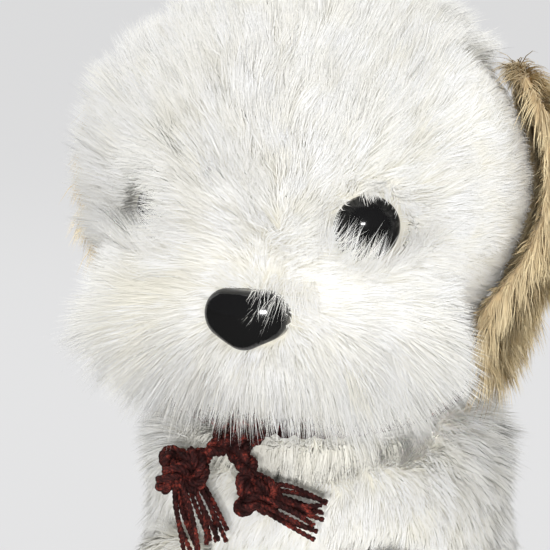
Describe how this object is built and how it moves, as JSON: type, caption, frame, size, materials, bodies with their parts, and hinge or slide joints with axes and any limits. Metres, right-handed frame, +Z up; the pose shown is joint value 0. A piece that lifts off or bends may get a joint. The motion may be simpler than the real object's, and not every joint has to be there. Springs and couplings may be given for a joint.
{
  "type": "plush dog",
  "caption": "Small sitting plush dog with a big shaggy head, button eyes and nose, drop ears and a tied yarn collar with tasselled ends.",
  "frame": {"origin": "centre of the flat seat, on the surface that the dog sits on", "axes": "+Z up, -Y the way that the dog looks, +X the dog's own left"},
  "size_m": [0.146, 0.1636, 0.2111],
  "materials": {
    "white_plush": "long shaggy pile",
    "white_short_plush": "short pile",
    "tan_plush": "long shaggy pile",
    "tan_lining": "short pile",
    "fibre_stuffing": "loose fibre",
    "pellet_bag_cloth": "plain weave",
    "maroon_yarn": "twisted yarn",
    "label_ribbon": "satin ribbon, blank",
    "black_plastic": "polished",
    "washer_plastic": "moulded"
  },
  "bodies": {
    "torso": {"torso_front_panel": "white_plush", "torso_left_panel": "white_plush", "torso_right_panel": "white_plush", "torso_back_panel": "white_plush", "seat_panel": "white_short_plush", "torso_stuffing": "fibre_stuffing", "pellet_bag": "pellet_bag_cloth", "blank_label": "label_ribbon"},
    "neck": {"neck_cover": "white_plush", "neck_stuffing": "fibre_stuffing"},
    "head": {"head_crown_panel": "white_plush", "head_left_panel": "white_plush", "head_right_panel": "white_plush", "head_back_panel": "white_plush", "muzzle_panel": "white_plush", "chin_panel": "white_plush", "head_stuffing": "fibre_stuffing", "eye_left": "black_plastic", "eye_right": "black_plastic", "eye_left_washer": "washer_plastic", "eye_right_washer": "washer_plastic", "nose": "black_plastic", "nose_washer": "washer_plastic"},
    "ear_left": {"ear_left_back": "tan_plush", "ear_left_lining": "tan_lining"},
    "ear_right": {"ear_right_back": "tan_plush", "ear_right_lining": "tan_lining"},
    "foreleg_left": {"foreleg_left_cover": "white_plush", "foreleg_left_stuffing": "fibre_stuffing", "foreleg_left_sole": "white_short_plush"},
    "foreleg_right": {"foreleg_right_cover": "white_plush", "foreleg_right_stuffing": "fibre_stuffing", "foreleg_right_sole": "white_short_plush"},
    "hindleg_left": {"hindleg_left_cover": "white_plush", "hindleg_left_stuffing": "fibre_stuffing", "hindleg_left_sole": "white_short_plush"},
    "hindleg_right": {"hindleg_right_cover": "white_plush", "hindleg_right_stuffing": "fibre_stuffing", "hindleg_right_sole": "white_short_plush"},
    "tail": {"tail_cover": "white_plush", "tail_stuffing": "fibre_stuffing"},
    "collar": {"cord_loop": "maroon_yarn", "cord_front_knot": "maroon_yarn"},
    "tie_left": {"tie_left_cord": "maroon_yarn", "tie_left_end_knot": "maroon_yarn", "tie_left_tassel": "maroon_yarn"},
    "tie_right": {"tie_right_cord": "maroon_yarn", "tie_right_end_knot": "maroon_yarn", "tie_right_tassel": "maroon_yarn"}
  },
  "joints": [
    {"name": "neck_turn", "type": "hinge", "parent": "torso", "child": "neck", "pos_m": [0, -0.03192, 0.1101], "axis": [0, -0.1392, 0.9903], "range_deg": [-20, 20], "stiffness_Nm_per_rad": 1},
    {"name": "neck_nod", "type": "hinge", "parent": "neck", "child": "head", "pos_m": [0, -0.03192, 0.1101], "axis": [-1, 0, 0], "range_deg": [-2, 14], "stiffness_Nm_per_rad": 2},
    {"name": "ear_left_flap", "type": "hinge", "parent": "head", "child": "ear_left", "pos_m": [0.04589, -0.01792, 0.1901], "axis": [0, -1, 0], "range_deg": [0, 60]},
    {"name": "ear_right_flap", "type": "hinge", "parent": "head", "child": "ear_right", "pos_m": [-0.04589, -0.01792, 0.1901], "axis": [0, 1, 0], "range_deg": [0, 60]},
    {"name": "foreleg_left_swing", "type": "hinge", "parent": "torso", "child": "foreleg_left", "pos_m": [0.025, -0.052, 0.062], "axis": [-1, 0, 0], "range_deg": [0, 35], "stiffness_Nm_per_rad": 0.3},
    {"name": "foreleg_right_swing", "type": "hinge", "parent": "torso", "child": "foreleg_right", "pos_m": [-0.025, -0.052, 0.062], "axis": [-1, 0, 0], "range_deg": [0, 35], "stiffness_Nm_per_rad": 0.3},
    {"name": "hindleg_left_splay", "type": "hinge", "parent": "torso", "child": "hindleg_left", "pos_m": [0.046, -0.01, 0.0225], "axis": [0, 0, 1], "range_deg": [0, 25], "stiffness_Nm_per_rad": 0.5},
    {"name": "hindleg_right_splay", "type": "hinge", "parent": "torso", "child": "hindleg_right", "pos_m": [-0.046, -0.01, 0.0225], "axis": [0, 0, -1], "range_deg": [0, 25], "stiffness_Nm_per_rad": 0.5},
    {"name": "tail_wag", "type": "hinge", "parent": "torso", "child": "tail", "pos_m": [0, 0.04078, 0.024], "axis": [0, -0.342, 0.9397], "range_deg": [-30, 30], "stiffness_Nm_per_rad": 0.1},
    {"name": "collar_turn", "type": "hinge", "parent": "neck", "child": "collar", "pos_m": [0, -0.03192, 0.1101], "axis": [0, -0.1392, 0.9903], "range_deg": [-10, 10]},
    {"name": "tie_left_swing", "type": "hinge", "parent": "collar", "child": "tie_left", "pos_m": [-0.005, -0.06924, 0.10259], "axis": [-1, 0, 0], "range_deg": [0, 25]},
    {"name": "tie_right_swing", "type": "hinge", "parent": "collar", "child": "tie_right", "pos_m": [-0.005, -0.06924, 0.10259], "axis": [-1, 0, 0], "range_deg": [0, 25]}
  ]
}
